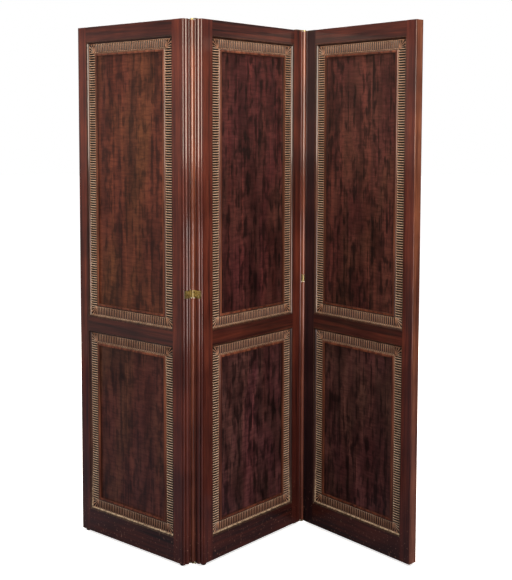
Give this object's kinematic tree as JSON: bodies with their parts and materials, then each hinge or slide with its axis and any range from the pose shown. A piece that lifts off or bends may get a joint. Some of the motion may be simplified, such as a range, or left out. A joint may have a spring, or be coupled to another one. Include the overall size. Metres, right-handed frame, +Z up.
{
  "type": "folding screen",
  "caption": "Free-standing mahogany folding screen of framed leaves with fluted panel mouldings, reeded hinge edges and brass hinges; its leaves fold flat like a concertina.",
  "frame": {"origin": "centre of the bounding box at floor level, with the leaves standing in a zig-zag", "axes": "+X to the viewer's right along the screen, +Y away from the viewer, +Z up"},
  "size_m": [1.1672, 0.4202, 1.833],
  "materials": {
    "mahogany_frame": "french-polished red-brown mahogany",
    "figured_panel": "french-polished figured mahogany",
    "carved_moulding": "waxed carved mahogany, rubbed on the high edges",
    "hinge_brass": "aged brass",
    "glide_metal": "dark metal glide"
  },
  "bodies": {
    "middle_leaf": {"left_fold_bottom_eye_blade": "hinge_brass", "left_fold_cover_bead": "mahogany_frame", "left_fold_inner_plate": "hinge_brass", "left_fold_top_eye_blade": "hinge_brass", "middle_leaf_bottom_rail": "mahogany_frame", "middle_leaf_feet": "glide_metal", "middle_leaf_left_stile": "mahogany_frame", "middle_leaf_lower_moulding": "carved_moulding", "middle_leaf_lower_panel": "figured_panel", "middle_leaf_middle_rail": "mahogany_frame", "middle_leaf_right_stile": "mahogany_frame", "middle_leaf_top_rail": "mahogany_frame", "middle_leaf_upper_moulding": "carved_moulding", "middle_leaf_upper_panel": "figured_panel", "right_fold_bottom_eye_blade": "hinge_brass", "right_fold_cover_bead": "mahogany_frame", "right_fold_inner_plate": "hinge_brass", "right_fold_top_eye_blade": "hinge_brass"},
    "left_leaf": {"left_fold_bottom_pin_blade": "hinge_brass", "left_fold_hinge_pin": "hinge_brass", "left_fold_outer_plate": "hinge_brass", "left_fold_top_pin_blade": "hinge_brass", "left_leaf_bottom_rail": "mahogany_frame", "left_leaf_feet": "glide_metal", "left_leaf_left_stile": "mahogany_frame", "left_leaf_lower_moulding": "carved_moulding", "left_leaf_lower_panel": "figured_panel", "left_leaf_middle_rail": "mahogany_frame", "left_leaf_right_stile": "mahogany_frame", "left_leaf_top_rail": "mahogany_frame", "left_leaf_upper_moulding": "carved_moulding", "left_leaf_upper_panel": "figured_panel"},
    "right_leaf": {"right_fold_bottom_pin_blade": "hinge_brass", "right_fold_hinge_pin": "hinge_brass", "right_fold_outer_plate": "hinge_brass", "right_fold_top_pin_blade": "hinge_brass", "right_leaf_bottom_rail": "mahogany_frame", "right_leaf_feet": "glide_metal", "right_leaf_left_stile": "mahogany_frame", "right_leaf_lower_moulding": "carved_moulding", "right_leaf_lower_panel": "figured_panel", "right_leaf_middle_rail": "mahogany_frame", "right_leaf_right_stile": "mahogany_frame", "right_leaf_top_rail": "mahogany_frame", "right_leaf_upper_moulding": "carved_moulding", "right_leaf_upper_panel": "figured_panel"}
  },
  "joints": [
    {"name": "left_fold", "type": "hinge", "parent": "middle_leaf", "child": "left_leaf", "pos_m": [-0.17082, -0.16392, 0.9], "axis": [0, 0, 1], "range_deg": [-93.1, 86.9]},
    {"name": "right_fold", "type": "hinge", "parent": "middle_leaf", "child": "right_leaf", "pos_m": [0.22797, 0.18747, 0.9], "axis": [0, 0, 1], "range_deg": [-83.6, 96.4]}
  ]
}
